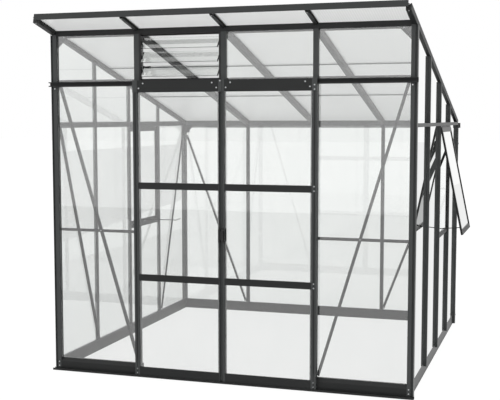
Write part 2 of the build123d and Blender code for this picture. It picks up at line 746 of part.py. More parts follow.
# One stay, drawn with its pivot at the origin and its free end towards -X
with BuildPart() as window_stay:
    eye = stay_height / 2 + stay_pin_radius
    stay_end = -stay_length - 2 * stay_rise
    with BuildSketch(Plane.XZ):
        with Locations((-stay_length / 2, 0)):
            Rectangle(stay_length, stay_height)
        Circle(eye - running_clear)
        Polygon((-stay_length, stay_height / 2), (-stay_length, -stay_height / 2), (stay_end, stay_rise - stay_height),
                (stay_end, stay_rise), align=none)
        Circle(stay_pin_radius + running_clear, mode=Mode.SUBTRACT)
    extrude(amount=stay_width / 2, both=True)

# The left window is shut and the right one stands open on its stay
stay_turn = stay_share * open_angle
swing = radians(open_angle)
open_pivot = (hinge_x + stay_pivot_x * cos(swing) - stay_level * sin(swing),
              hinge_z + stay_pivot_x * sin(swing) + stay_level * cos(swing))
left_place = Location((-hinge_x, window_middle, hinge_z), (0, 0, 180))
right_place = Location((hinge_x, window_middle, hinge_z), (0, -open_angle, 0))
left_stay_place = Location((-hinge_x - stay_pivot_x, window_middle, hinge_z + stay_level), (0, 0, 180))
right_stay_place = Location((open_pivot[0], window_middle, open_pivot[1]), (0, -stay_turn, 0))
window_pieces = (("left_window_frame", window_frame, left_place), ("left_window_pane", window_pane, left_place),
                 ("left_stay", window_stay, left_stay_place), ("right_window_frame", window_frame, right_place),
                 ("right_window_pane", window_pane, right_place), ("right_stay", window_stay, right_stay_place))
for name, piece, place in window_pieces:
    with BuildPart() as placed:
        with Locations(place):
            add(piece.part)
    save(placed, name)

# Pegs on the sills that the stays lie over
with BuildPart() as stay_pegs:
    with BuildSketch(Plane.XY.offset(sill_top)):
        with Locations((-sill_middle, window_middle), (sill_middle, window_middle)):
            Circle(peg_radius)
    extrude(amount=hinge_z + stay_level - stay_height / 2 - stay_pin_radius - peg_clear - sill_top)
save(stay_pegs, "stay_pegs")

# Louvre frame in the bay over the left door, with pivot holes in its sides
louvre_left = -bay + front_head_width / 2
louvre_right = -front_head_width / 2
louvre_middle = (louvre_left + louvre_right) / 2
pivot_y = -(half + pane_inner) / 2
blade_pitch = (light_height - 2 * flange_lap - 2 * blade_clear - blade_overlap) / 3
blade_height = blade_pitch + blade_overlap
blade_levels = [(transom_top + plate_bottom) / 2 + blade_pitch * step for step in (-1, 0, 1)]
with BuildPart() as louvre_frame:
    with BuildSketch(Plane.XZ.offset(pane_inner)):
        with Locations((louvre_middle, (transom_top + plate_bottom) / 2)):
            Rectangle(louvre_right - louvre_left, plate_bottom - transom_top)
            Rectangle(louvre_right - louvre_left - 2 * louvre_side, plate_bottom - transom_top - 2 * louvre_edge,
                      mode=Mode.SUBTRACT)
    extrude(amount=half - pane_inner)
    with BuildSketch(Plane.YZ) as holes:
        with Locations(*[(pivot_y, level) for level in blade_levels]):
            Circle(pivot_radius + running_clear)
    extrude(holes.sketch, amount=-bay, mode=Mode.SUBTRACT)
save(louvre_frame, "louvre_frame")

# Blades, tilted with their tops inwards, each held in two end clips
inside_left = louvre_left + louvre_side
inside_right = louvre_right - louvre_side
clip_left = inside_left + 2 * link_play + link_thickness
clip_right = inside_right - link_play
tilt = radians(blade_tilt)
arm_end = (link_arm * cos(tilt), -link_arm * sin(tilt))
for index, level in enumerate(blade_levels):
    # Local frame of a blade: first axis along the blade normal, second axis up the blade
    blade_plane = Plane(origin=(0, pivot_y, level), x_dir=(0, cos(tilt), -sin(tilt)), z_dir=(1, 0, 0))
    with BuildPart() as blade:
        with BuildSketch(blade_plane.offset(clip_left + clip_thickness)):
            Rectangle(pane_thickness, blade_height)
        extrude(amount=clip_right - clip_left - 2 * clip_thickness)
    save(blade, f"louvre_blade_{index + 1}")
    with BuildPart() as clips:
        with BuildSketch(blade_plane.offset(clip_left), blade_plane.offset(clip_right - clip_thickness)):
            Rectangle(clip_depth, blade_height)
        extrude(amount=clip_thickness)
        with BuildSketch(blade_plane.offset(clip_left)):
            with Locations((link_arm / 2, 0)):
                Rectangle(link_arm + link_width, link_width)
        extrude(amount=clip_thickness)
        # Pivot pins into the frame sides and the crank pin for the link
        with BuildSketch(blade_plane.offset(inside_left - louvre_side)):
            Circle(pivot_radius)
        extrude(amount=louvre_side + clip_left - inside_left)
        with BuildSketch(blade_plane.offset(clip_right)):
            Circle(pivot_radius)
        extrude(amount=inside_right + louvre_side - clip_right)
        with BuildSketch(blade_plane.offset(inside_left + link_play)):
            with Locations((link_arm, 0)):
                Circle(pivot_radius)
        extrude(amount=clip_left - inside_left - link_play)
    save(clips, f"louvre_clips_{index + 1}")

# Link bar that turns the three blades together, and its handle
link_y = pivot_y + arm_end[0]
link_levels = [level + arm_end[1] for level in blade_levels]
handle_z = (link_levels[0] + link_levels[1]) / 2
handle_out = blade_height / 2 + link_arm
with BuildPart() as louvre_link:
    with BuildSketch(Plane.YZ.offset(inside_left + link_play)):
        with Locations((link_y, (link_levels[0] + link_levels[2]) / 2)):
            Rectangle(link_width, 2 * blade_pitch + 2 * link_width)
        with Locations(*[(link_y, level) for level in link_levels]):
            Circle(pivot_radius + running_clear, mode=Mode.SUBTRACT)
    extrude(amount=link_thickness)
save(louvre_link, "louvre_link")

with BuildPart() as louvre_handle:
    with BuildSketch(Plane.YZ.offset(inside_left + link_play)):
        with Locations((link_y + link_width / 2 + handle_out / 2, handle_z)):
            Rectangle(handle_out, 2 * link_width)
    extrude(amount=link_thickness)
    with BuildSketch(Plane.YZ.offset(inside_left + link_play + link_thickness)):
        with Locations((link_y + link_width / 2 + handle_out - link_width / 2, handle_z)):
            Rectangle(link_width, 2 * link_width)
    extrude(amount=link_arm)
save(louvre_handle, "louvre_handle")

# Sliding doors, left and right
door_back = half + stile_clear
door_front = door_back + stile_depth
plate_front = door_front + top_rail_thickness
stile_top = transom_bottom - door_top_clear
leaf_edge = bay + door_lap
pane_back = door_back + stile_depth - door_rail_depth
top_rail_top = track_top + top_rail_rise
axle_level = track_bottom + track_wall + wheel_clear + wheel_radius
wheel_middle = half + track_wall + (track_depth - 2 * track_wall) / 2
rail_levels = (lower_rail_height, upper_rail_height)
for side, name, meeting_stile in ((-1, "left", left_meeting_stile), (1, "right", right_meeting_stile)):
    rail_start = meeting_gap + meeting_stile
    rail_end = leaf_edge - stile_width
    clear_width = rail_end - rail_start
    rail_middle = side * (rail_start + rail_end) / 2
    meeting_middle = side * (meeting_gap + rail_start) / 2
    outer_middle = side * (rail_end + leaf_edge) / 2
    axle_places = (side * (rail_start + roller_inset), side * (rail_end - roller_inset))

    # Stiles with a flange behind the panes; the outer one is grooved down the front
    with BuildPart() as stiles:
        with BuildSketch(Plane.XY.offset(door_clear)):
            with Locations((meeting_middle, -door_back - stile_depth / 2)):
                Rectangle(meeting_stile, stile_depth)
            with Locations((outer_middle, -door_back - stile_depth / 2)):
                Rectangle(stile_width, stile_depth)
            with Locations((outer_middle, -door_front + stile_groove_depth / 2)):
                Rectangle(stile_groove, stile_groove_depth, mode=Mode.SUBTRACT)
            if meeting_stile > seal_channel:
                # The wider meeting stile is an open channel that takes the other one's edge seal
                with Locations((meeting_middle, -door_front + seal_channel_depth / 2)):
                    Rectangle(seal_channel, seal_channel_depth, mode=Mode.SUBTRACT)
            flange_places = (side * (rail_start + door_flange / 2), side * (rail_end - door_flange / 2))
            with Locations(*[(x, -pane_back + flange_depth / 2) for x in flange_places]):
                Rectangle(door_flange, flange_depth)
        extrude(amount=stile_top - door_clear)
        # Heads that stand up in front of the track, flush with the top rail
        with BuildSketch(Plane.XY.offset(top_rail_top - top_rail_height)):
            with Locations((meeting_middle, -door_front - top_rail_thickness / 2)):
                Rectangle(meeting_stile, top_rail_thickness)
            with Locations((outer_middle, -door_front - top_rail_thickness / 2)):
                Rectangle(stile_width, top_rail_thickness)
        extrude(amount=top_rail_height)
    save(stiles, f"{name}_door_stiles")

    # Rails between the stiles, and the deep top rail that hangs in front of the track
    with BuildPart() as rails:
        rail_y = -door_front + door_rail_depth / 2
        with BuildSketch(Plane.XY.offset(door_clear)):
            with Locations((rail_middle, rail_y)):
                Rectangle(clear_width, door_rail_depth)
        extrude(amount=bottom_rail_height)
        for level in rail_levels:
            with BuildSketch(Plane.XY.offset(level - mid_rail_height / 2)):
                with Locations((rail_middle, rail_y)):
                    Rectangle(clear_width, door_rail_depth)
            extrude(amount=mid_rail_height)
        with BuildSketch(Plane.XY.offset(stile_top - head_rail_height)):
            with Locations((rail_middle, rail_y)):
                Rectangle(clear_width, door_rail_depth)
        extrude(amount=head_rail_height)
        with BuildSketch(Plane.XY.offset(top_rail_top - top_rail_height)):
            with Locations((rail_middle, -door_front - top_rail_thickness / 2)):
                Rectangle(clear_width, top_rail_thickness)
        extrude(amount=top_rail_height)
        with BuildSketch(Plane.XZ.offset(door_front)) as axle_holes:
            with Locations(*[(x, axle_level) for x in axle_places]):
                Circle(axle_radius)
        extrude(axle_holes.sketch, amount=top_rail_thickness, mode=Mode.SUBTRACT)
    save(rails, f"{name}_door_rails")

    # Panes between the rails
    with BuildPart() as panes:
        starts = (door_clear + bottom_rail_height, lower_rail_height + mid_rail_height / 2,
                  upper_rail_height + mid_rail_height / 2)
        ends = (lower_rail_height - mid_rail_height / 2, upper_rail_height - mid_rail_height / 2,
                stile_top - head_rail_height)
        for start, end in zip(starts, ends):
            with BuildSketch(Plane.XY.offset(start)):
                with Locations((rail_middle, -pane_back - pane_bedding - pane_thickness / 2)):
                    Rectangle(clear_width - pane_play, pane_thickness)
            extrude(amount=end - start)
    save(panes, f"{name}_door_panes")

    # Pull handle on the meeting stile: a plate, two posts and an upright grip
    with BuildPart() as handle:
        with BuildSketch(Plane.XZ.offset(door_front)):
            with Locations((meeting_middle, handle_level + handle_height / 2)):
                Rectangle(meeting_stile, handle_height)
        extrude(amount=flange_depth)
        with BuildSketch(Plane.XZ.offset(door_front + flange_depth)):
            with Locations((meeting_middle, handle_level + handle_grip),
                           (meeting_middle, handle_level + handle_height - handle_grip)):
                Rectangle(handle_grip, handle_grip)
        extrude(amount=handle_reach)
        with BuildSketch(Plane.XZ.offset(door_front + flange_depth + handle_reach)):
            with Locations((meeting_middle, handle_level + handle_height / 2)):
                Rectangle(handle_grip, handle_height - handle_grip)
        extrude(amount=handle_grip)
    save(handle, f"{name}_door_handle")

    # Plastic shoes under the leaf that keep it in the bottom track
    with BuildPart() as shoes:
        with BuildSketch(Plane.XY.offset(door_clear)):
            with Locations(*[(x, -half - sill_track_depth / 2) for x in axle_places]):
                Rectangle(shoe_length, shoe_depth)
        extrude(amount=-(door_clear - sill_track_wall - pane_play))
    save(shoes, f"{name}_door_shoes")

    # Wheels on the axle bolts
    for place, x in zip(("inner", "outer"), axle_places):
        with BuildPart() as wheel:
            with BuildSketch(Plane.XZ.offset(wheel_middle)):
                with Locations((x, axle_level)):
                    Circle(wheel_radius)
                    Circle(axle_radius + running_clear, mode=Mode.SUBTRACT)
            extrude(amount=wheel_width / 2, both=True)
        save(wheel, f"{name}_door_{place}_wheel")

    # Axle bolts with their nuts, the bolts of the top rail, and those of the stiles
    with BuildPart() as bolts:
        axle_back = wheel_middle - wheel_width / 2 - wheel_clear
        nut_height = 2 * flange_depth / 3
        with BuildSketch(Plane.XZ.offset(axle_back)):
            with Locations(*[(x, axle_level) for x in axle_places]):
                Circle(axle_radius)
        extrude(amount=plate_front - axle_back)
        with BuildSketch(Plane.XZ.offset(axle_back - nut_height)):
            with Locations(*[(x, axle_level) for x in axle_places]):
                Circle(axle_radius + bolt_height / 2)
        extrude(amount=nut_height)
        rail_bolts = (side * (rail_start + rail_bolt_inset), side * (rail_end - rail_bolt_inset))
        with BuildSketch(Plane.XZ.offset(plate_front)):
            with Locations(*[(x, axle_level) for x in axle_places]):
                Circle(bolt_radius)
            with Locations(*[(x, stile_top - head_rail_height / 2) for x in rail_bolts]):
                Circle(bolt_radius)
            if meeting_stile > seal_channel:
                with Locations((meeting_middle, top_rail_top - head_bolt_drop)):
                    Circle(bolt_radius)
        extrude(amount=bolt_height)
        foot_bolts = (door_clear + bottom_rail_height / 4, door_clear + 3 * bottom_rail_height / 4)
        with BuildSketch(Plane.XZ.offset(door_front - stile_groove_depth)):
            with Locations(*[(outer_middle, level) for level in foot_bolts]):
                Circle(stile_groove / 2)
        extrude(amount=stile_groove_depth + bolt_height)
    save(bolts, f"{name}_door_bolts")

# Bolts of the fixed frame
with BuildPart() as frame_bolts:
    # On the fronts of the corner posts, at the foot and under the track
    post_x = (inner + channel_side) / 2
    post_levels = (base_height / 3, 2 * base_height / 3, track_bottom - 3 * bolt_radius)
    with BuildSketch(Plane.XZ.offset(half)):
        with Locations(*[(side * post_x, level) for side in (-1, 1) for level in post_levels]):
            Circle(bolt_radius)
    extrude(amount=bolt_height)
    # Where the braces cross the strips
    with BuildSketch(Plane.XZ.offset(flange_inner - brace_thickness)):
        with Locations((-crossing, mid_strip_level), (crossing, mid_strip_level)):
            Circle(bolt_radius)
    extrude(amount=brace_thickness + flange_depth)
    # Through the gussets and the flange of the top plate
    with BuildSketch(Plane.XZ.offset(flange_inner - gusset_thickness - bolt_height)):
        with Locations(*gusset_bolts):
            Circle(bolt_radius)
    extrude(amount=bolt_height + gusset_thickness + flange_depth)
    # Under the front ends of the roof bars and of the verges
    front_bolt = verge_start + 2 * bolt_radius
    for drop, lines in ((shelf_depth + rib_depth, bar_lines), (verge_drop, (-verge_middle, verge_middle))):
        with BuildSketch(roof_plane.offset(-drop - bolt_height)):
            with Locations(*[(line, front_bolt) for line in lines]):
                Circle(bolt_radius)
        extrude(amount=bolt_height)
save(frame_bolts, "frame_bolts")
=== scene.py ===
"""Looks for the pent-roof glasshouse: finishes for the solids, small fittings, and a white studio.

Everything is in metres in the part's own frame: X to the right, Y from the doors to the low back, Z up.
"""
import math

import bmesh
import bpy
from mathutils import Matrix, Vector


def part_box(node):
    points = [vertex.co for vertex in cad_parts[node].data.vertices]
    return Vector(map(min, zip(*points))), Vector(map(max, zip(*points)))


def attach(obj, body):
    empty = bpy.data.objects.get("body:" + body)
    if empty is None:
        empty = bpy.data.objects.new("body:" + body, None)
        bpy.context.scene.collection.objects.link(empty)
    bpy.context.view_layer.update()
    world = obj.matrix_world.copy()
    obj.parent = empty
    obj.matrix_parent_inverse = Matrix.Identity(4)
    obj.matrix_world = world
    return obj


bl_info = {
    "name": "Pent-roof glasshouse",
    "version": (1, 0, 0),
    "blender": (4, 5, 0),
    "location": "View3D > Sidebar > Glasshouse",
    "description": "Dresses the glasshouse solids and sets up the studio around them",
    "category": "Object",
}

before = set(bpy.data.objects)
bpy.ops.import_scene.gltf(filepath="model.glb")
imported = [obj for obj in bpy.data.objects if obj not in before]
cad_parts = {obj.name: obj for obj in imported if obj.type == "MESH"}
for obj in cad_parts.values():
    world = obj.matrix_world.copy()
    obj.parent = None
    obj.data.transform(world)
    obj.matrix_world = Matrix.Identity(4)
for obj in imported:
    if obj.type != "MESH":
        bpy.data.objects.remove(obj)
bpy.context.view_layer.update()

# Solids by their finish. All that are not named here are rails and plates with the rails' coat
FRONT_GLASS = ("front_glass", "left_door_panes", "right_door_panes", "louvre_blade_1", "louvre_blade_2",
               "louvre_blade_3")
WALL_GLASS = ("side_glass", "rear_glass", "left_window_pane", "right_window_pane")
BOLT_NODES = ("frame_bolts", "left_door_bolts", "right_door_bolts", "window_rods", "stay_pegs")
PLASTIC_NODES = ("end_caps", "left_door_shoes", "right_door_shoes", "left_door_handle", "right_door_handle",
                 "left_door_inner_wheel", "left_door_outer_wheel", "right_door_inner_wheel",
                 "right_door_outer_wheel", "louvre_clips_1", "louvre_clips_2", "louvre_clips_3",
                 "louvre_link", "louvre_handle", "louvre_frame")
SHEET_NODES = ("roof_sheets",)
JOINER_NODES = ("sheet_joiners",)
UNCOATED = FRONT_GLASS + WALL_GLASS + BOLT_NODES + PLASTIC_NODES + SHEET_NODES + JOINER_NODES
# Bars, posts and the fascia get lighter copies of the rails' coat. The lift is painted light for their
# brighter shading. The verges get a duller copy
BAR_NODES = ("corner_posts", "door_jambs", "front_mullions", "left_door_stiles", "right_door_stiles",
             "side_bars", "eave_rail")
FASCIA_NODES = ("roof_fascia",)
VERGE_NODES = ("verge_bars",)
SET_APART_FROM_RAILS = BAR_NODES + FASCIA_NODES + VERGE_NODES
RAIL_NODES = tuple(sorted(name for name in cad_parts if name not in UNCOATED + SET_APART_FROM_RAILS))

# Sizes of the patterns in the finishes, in millimetres
PEEL_CELL = 4.0  # orange peel of the coat, about 1.5 in life, drawn coarser so that it shows close up
BATCH_CLOUD = 350.0  # slow changes of tone along a bar, from batches of powder and from handling
QUENCH_BAND = 280.0  # bands of tint in the tempered glass
PLATING_MOTTLE = 2.0  # mottle of the zinc plate
MOULD_GRAIN = 2.0  # grain of the mould, about 1 in life, drawn coarser so that it shows close up
DIE_LINE = 1.5  # distance of the lines that the die leaves in a joiner strip
DIE_STRETCH = (0.02, 1.0, 1.0)  # the die lines run along X, so their pattern is drawn out that way

# Relief of those patterns, as a share and a height in metres
PEEL_BUMP = {"Strength": 0.06, "Distance": 0.0004}
WEB_BUMP = {"Strength": 0.15, "Distance": 0.001}
GRAIN_BUMP = {"Strength": 0.1, "Distance": 0.0003}

# Gloss of the coat, the plate and the panes
COAT_SPREAD = 0.04  # how far the coat's roughness strays from its mean
PLATE_ROUGHNESS = (0.25, 0.4)  # least and most on the zinc plate
MIRROR_SLANT = (0.7, 0.86)  # slants between which a pane turns into a full mirror

# Place of the mixed colour among a mix node's outputs
MIXED_COLOUR = 2

# Softened edges
EDGE_SEGMENTS = 2
EDGE_ANGLE = math.radians(50.0)

# Sides of the round and the hexagon heads
SCREW_SIDES = 20
WASHER_SIDES = 24
HEXAGON_SIDES = 6

# Floor. It glows white to the eye, and a thin coat of matt paint takes the shadows
WHITE = "#FFFFFF"
FLOOR_LEVEL = -0.004  # low enough for every card to lie under the house
CARD_STEP = 0.0005  # how far each card lies above the one before
FLOOR_GLOW = 0.91
FLOOR_PAINT = 0.16  # paint that the eye sees
FLOOR_BOUNCE = 0.6  # paint that sends light back up to the house
MIRROR_DEPTH = 0.5  # count of mirrorings above which the floor is seen in a mirror

# Camera, from a pinhole fitted to points of the photograph
CAMERA_PLACE = (2.14901, -6.32985, 1.7707)
CAMERA_TURN = (1.48269, 0.00164, 0.3182)
FILM_WIDTH = 36.0
FOCAL_LENGTH = 72.666
FILM_SHIFT = (0.03238, 0.01591)
VIEW_DEPTH = 200.0


def linear(code):
    """Linear colour with alpha from an sRGB hex value."""
    values = [int(code[place:place + 2], 16) / 255 for place in (1, 3, 5)]
    return tuple(v / 12.92 if v <= 0.04045 else ((v + 0.055) / 1.055) ** 2.4 for v in values) + (1.0,)


def add_node(tree, kind, options=None, **inputs):
    """Add a shader node, set its options, and set or link its inputs.

    An input goes by its name with underscores for spaces. One whose name isn't its own, such as a colour of
    a mix, goes by its place, as in _6.
    """
    node = tree.nodes.new(kind)
    for name, value in (options or {}).items():
        setattr(node, name, value)
    for name, value in inputs.items():
        socket = node.inputs[int(name[1:])] if name[0] == "_" else node.inputs[name.replace("_", " ")]
        if isinstance(value, bpy.types.NodeSocket):
            tree.links.new(value, socket)
        else:
            socket.default_value = value
    return node


def new_material(name):
    """An empty node material and its tree."""
    material = bpy.data.materials.new(name)
    material.use_nodes = True
    material.node_tree.nodes.clear()
    return material, material.node_tree


def per_metre(millimetres):
    """Texture scale that gives a pattern of this size when the coordinates are in metres."""
    return 1000.0 / millimetres


def powder_coat(name, dark, light, roughness, ior):
    """Anthracite powder coat baked on extruded aluminium.

    The cured powder gives a dark satin skin with a faint orange peel. Seen along a face it turns pale,
    because the skin mirrors the white room at low angles.
    """
    material, tree = new_material(name)
    place = add_node(tree, "ShaderNodeTexCoord")
    peel = add_node(tree, "ShaderNodeTexNoise", Vector=place.outputs["Object"],
                    Scale=per_metre(PEEL_CELL), Detail=2.0)
    cloud = add_node(tree, "ShaderNodeTexNoise", Vector=place.outputs["Object"],
                     Scale=per_metre(BATCH_CLOUD), Detail=3.0)
    colour = add_node(tree, "ShaderNodeMix", {"data_type": "RGBA"}, Factor=cloud.outputs["Fac"],
                      _6=linear(dark), _7=linear(light))
    gloss = add_node(tree, "ShaderNodeMapRange", Value=peel.outputs["Fac"], To_Min=roughness - COAT_SPREAD,
                     To_Max=roughness + COAT_SPREAD)
    bump = add_node(tree, "ShaderNodeBump", Height=peel.outputs["Fac"], **PEEL_BUMP)
    shader = add_node(tree, "ShaderNodeBsdfPrincipled", Base_Color=colour.outputs[MIXED_COLOUR],
                      Roughness=gloss.outputs[0], Normal=bump.outputs["Normal"], IOR=ior)
    add_node(tree, "ShaderNodeOutputMaterial", Surface=shader.outputs[0])
    return material


def float_glass(name, settings, ior):
    """Clear toughened float glass.

    The quench after tempering leaves slow bands of a slightly cooler tint. The IOR starts from 1.52 and is
    raised until the panes mirror the room as strongly as the real ones do. Looked along, a pane is a full
    mirror.
    """
    material, tree = new_material(name)
    place = add_node(tree, "ShaderNodeTexCoord")
    bands = add_node(tree, "ShaderNodeTexNoise", Vector=place.outputs["Object"],
                     Scale=per_metre(QUENCH_BAND), Detail=1.0)
    tint = add_node(tree, "ShaderNodeMix", {"data_type": "RGBA"}, Factor=bands.outputs["Fac"],
                    _6=linear(settings.glass_cool), _7=linear(settings.glass_clear))
    slant = add_node(tree, "ShaderNodeLayerWeight", Blend=0.5)
    mirror = add_node(tree, "ShaderNodeMapRange", Value=slant.outputs["Facing"], From_Min=MIRROR_SLANT[0],
                      From_Max=MIRROR_SLANT[1])
    shader = add_node(tree, "ShaderNodeBsdfPrincipled", Base_Color=tint.outputs[MIXED_COLOUR],
                      Roughness=0.0, Metallic=mirror.outputs[0], IOR=ior, Transmission_Weight=1.0)
    add_node(tree, "ShaderNodeOutputMaterial", Surface=shader.outputs[0])
    return material


def twin_wall_sheet(settings):
    """Clear twin-wall polycarbonate, extruded with webs that run down the slope.

    The webs scatter the light, so the sheet glows white against the sky and carries a fine stripe. It is
    mostly air, so its IOR is well under that of solid polycarbonate.
    """
    material, tree = new_material("twin_wall_polycarbonate")
    place = add_node(tree, "ShaderNodeTexCoord")
    axes = add_node(tree, "ShaderNodeSeparateXYZ", Vector=place.outputs["Object"])
    # The webs stand 6 mm apart and are drawn coarser so that they show in the picture
    turns = add_node(tree, "ShaderNodeMath", {"operation": "MULTIPLY"}, _0=axes.outputs["X"],
                     _1=2 * math.pi * per_metre(settings.web_spacing))
    ripple = add_node(tree, "ShaderNodeMath", {"operation": "SINE"}, _0=turns.outputs[0])
    share = add_node(tree, "ShaderNodeMapRange", Value=ripple.outputs[0], From_Min=-1.0, From_Max=1.0)
    colour = add_node(tree, "ShaderNodeMix", {"data_type": "RGBA"}, Factor=share.outputs[0],
                      _6=linear(settings.sheet_web), _7=linear(settings.sheet_clear))
    bump = add_node(tree, "ShaderNodeBump", Height=share.outputs[0], **WEB_BUMP)
    shader = add_node(tree, "ShaderNodeBsdfPrincipled", Base_Color=colour.outputs[MIXED_COLOUR],
                      Roughness=0.32, IOR=1.15, Transmission_Weight=1.0, Normal=bump.outputs["Normal"])
    add_node(tree, "ShaderNodeOutputMaterial", Surface=shader.outputs[0])
    return material


def zinc_plate(settings):
    """Bright zinc plate on steel fasteners, with the mottle that barrel plating leaves."""
    material, tree = new_material("zinc_plated_steel")
    place = add_node(tree, "ShaderNodeTexCoord")
    mottle = add_node(tree, "ShaderNodeTexNoise", Vector=place.outputs["Object"],
                      Scale=per_metre(PLATING_MOTTLE), Detail=3.0)
    colour = add_node(tree, "ShaderNodeMix", {"data_type": "RGBA"}, Factor=mottle.outputs["Fac"],
                      _6=linear(settings.zinc_dark), _7=linear(settings.zinc_light))
    gloss = add_node(tree, "ShaderNodeMapRange", Value=mottle.outputs["Fac"], To_Min=PLATE_ROUGHNESS[0],
                     To_Max=PLATE_ROUGHNESS[1])
    shader = add_node(tree, "ShaderNodeBsdfPrincipled", Base_Color=colour.outputs[MIXED_COLOUR],
                      Metallic=1.0, Roughness=gloss.outputs[0])
    add_node(tree, "ShaderNodeOutputMaterial", Surface=shader.outputs[0])
    return material


def black_nylon(settings):
    """Moulded nylon, a dull black with the fine grain of a spark-eroded mould."""
    material, tree = new_material("moulded_black_nylon")
    place = add_node(tree, "ShaderNodeTexCoord")
    grain = add_node(tree, "ShaderNodeTexNoise", Vector=place.outputs["Object"],
                     Scale=per_metre(MOULD_GRAIN), Detail=4.0)
    colour = add_node(tree, "ShaderNodeMix", {"data_type": "RGBA"}, Factor=grain.outputs["Fac"],
                      _6=linear(settings.nylon_dark), _7=linear(settings.nylon_light))
    bump = add_node(tree, "ShaderNodeBump", Height=grain.outputs["Fac"], **GRAIN_BUMP)
    shader = add_node(tree, "ShaderNodeBsdfPrincipled", Base_Color=colour.outputs[MIXED_COLOUR],
                      Roughness=0.5, Normal=bump.outputs["Normal"], IOR=1.53)
    add_node(tree, "ShaderNodeOutputMaterial", Surface=shader.outputs[0])
    return material


def grey_joiner(settings):
    """Extruded grey PVC joiner strip between the roof sheets, with faint die lines along its length."""
    material, tree = new_material("extruded_grey_pvc")
    place = add_node(tree, "ShaderNodeTexCoord")
    stretched = add_node(tree, "ShaderNodeMapping", Vector=place.outputs["Object"], Scale=DIE_STRETCH)
    lines = add_node(tree, "ShaderNodeTexNoise", Vector=stretched.outputs[0],
                     Scale=per_metre(DIE_LINE), Detail=2.0)
    colour = add_node(tree, "ShaderNodeMix", {"data_type": "RGBA"}, Factor=lines.outputs["Fac"],
                      _6=linear(settings.joiner_dark), _7=linear(settings.joiner_light))
    shader = add_node(tree, "ShaderNodeBsdfPrincipled", Base_Color=colour.outputs[MIXED_COLOUR],
                      Roughness=0.4, IOR=1.54)
    add_node(tree, "ShaderNodeOutputMaterial", Surface=shader.outputs[0])
    return material


def dress(names, material, edge):
    """Give solids a material and, where an edge width is set, softened edges."""
    for name in names:
        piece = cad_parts[name]
        piece.data.materials.clear()
        piece.data.materials.append(material)
        if edge > 0.0:
            rounding = piece.modifiers.new("rounded_edges", "BEVEL")
            rounding.width = edge
            rounding.segments = EDGE_SEGMENTS
            rounding.limit_method = "ANGLE"
            rounding.angle_limit = EDGE_ANGLE
            rounding.harden_normals = True


def lathe(shape, foot, out, profile, sides):
    """Turn a profile of radius and height pairs about an axis that stands out from a surface."""
    turn = Vector((0.0, 0.0, 1.0)).rotation_difference(Vector(out)).to_matrix()
    rings = []
    for radius, height in profile:
        angles = [2 * math.pi * step / sides for step in range(sides)]
        points = [Vector((radius * math.cos(angle), radius * math.sin(angle), height)) for angle in angles]
        rings.append([shape.verts.new(Vector(foot) + turn @ point) for point in points])
    for low, high in zip(rings, rings[1:]):
        for step in range(sides):
            shape.faces.new((low[step - 1], low[step], high[step], high[step - 1]))
    shape.faces.new(rings[0][::-1])
    shape.faces.new(rings[-1])


def pan_screw(shape, foot, out, radius):
    """A pan-head screw with a socket, on a washer."""
    thick = radius / 4
    washer = ((1.35 * radius, 0.0), (1.35 * radius, thick), (radius, thick))
    head = ((radius, 0.0), (radius, 2 * thick), (0.85 * radius, 3 * thick), (0.5 * radius, 3.6 * thick),
            (0.4 * radius, 3.6 * thick), (0.35 * radius, 2 * thick))
    lathe(shape, foot, out, washer, SCREW_SIDES)
    lathe(shape, foot, out, head, SCREW_SIDES)


def hex_bolt(shape, foot, out, radius):
    """A hexagon bolt head with chamfered corners, on a washer."""
    thick = radius / 5
    washer = ((1.25 * radius, 0.0), (1.25 * radius, thick), (radius, thick))
    head = ((radius, 0.0), (radius, 3.4 * thick), (0.86 * radius, 4 * thick))
    lathe(shape, foot, out, washer, WASHER_SIDES)
    lathe(shape, foot, out, head, HEXAGON_SIDES)


def fitting(name, shape, body, material):
    """Turn a shape into a piece that moves with a body and takes its finish from a slot."""
    mesh = bpy.data.meshes.new(name)
    shape.to_mesh(mesh)
    shape.free()
    mesh.materials.append(material)
    piece = bpy.data.objects.new(name, mesh)
    bpy.context.scene.collection.objects.link(piece)
    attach(piece, body)


def fasteners(name, maker, places, radius, body, material):
    """One mesh of like screws or bolts, which moves with a body."""
    shape = bmesh.new()
    for foot, out in places:
        maker(shape, foot, out, radius)
    fitting(name, shape, body, material)


def groove_shade_bead(middle, face, bottom, top, width):
    """A lipped black bead that fills a groove, from the groove's floor to just under the face in front of
    it. Its black is painted shade, standing in for the shadow down in the groove.
    """
    shape = bmesh.new()
    # Half of the section, across and inwards in shares of the width. The other half mirrors it about a dip
    half = ((0.1, 0.05), (0.3, 0.1), (0.5, 0.35), (0.5, 0.9))
    outline = [(-x, y) for x, y in reversed(half)] + [(0.0, 0.2)] + list(half)
    rings = [[shape.verts.new((middle + x * width, face + y * width, level)) for x, y in outline]
             for level in (bottom, top)]
    for step in range(len(outline)):
        shape.faces.new((rings[0][step - 1], rings[0][step], rings[1][step], rings[1][step - 1]))
    shape.faces.new(rings[0][::-1])
    shape.faces.new(rings[1])
    return shape


